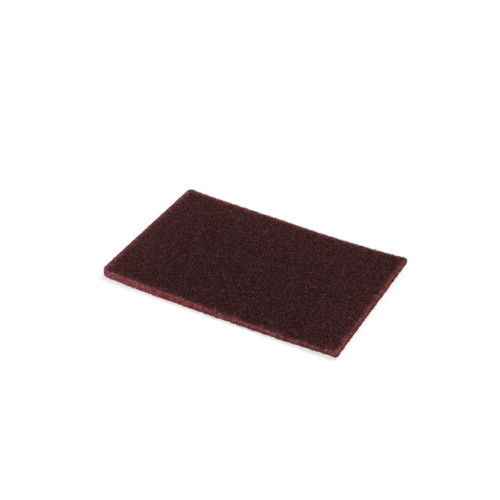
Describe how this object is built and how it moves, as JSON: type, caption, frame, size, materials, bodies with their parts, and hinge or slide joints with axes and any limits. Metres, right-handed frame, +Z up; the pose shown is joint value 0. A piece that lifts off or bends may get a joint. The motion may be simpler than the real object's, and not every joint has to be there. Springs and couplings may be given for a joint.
{
  "type": "non-woven hand pad",
  "caption": "Flat rectangular abrasive hand pad, die-cut from lofty bonded fibre web, with a flat resting band near its middle, short ends that curl slightly up, and one end loftier than the other.",
  "frame": {"origin": "on the resting face, under the middle of the pad", "axes": "+X along the 228.6 mm length, towards the thinner end, +Y across the width, +Z up through the thickness"},
  "size_m": [0.2286, 0.1524, 0.0103],
  "materials": {
    "fibre_web": "matt, open tangle of bonded fibres, paler red on the cut edges"
  },
  "bodies": {
    "root": {"web_pad": "fibre_web"}
  },
  "joints": []
}
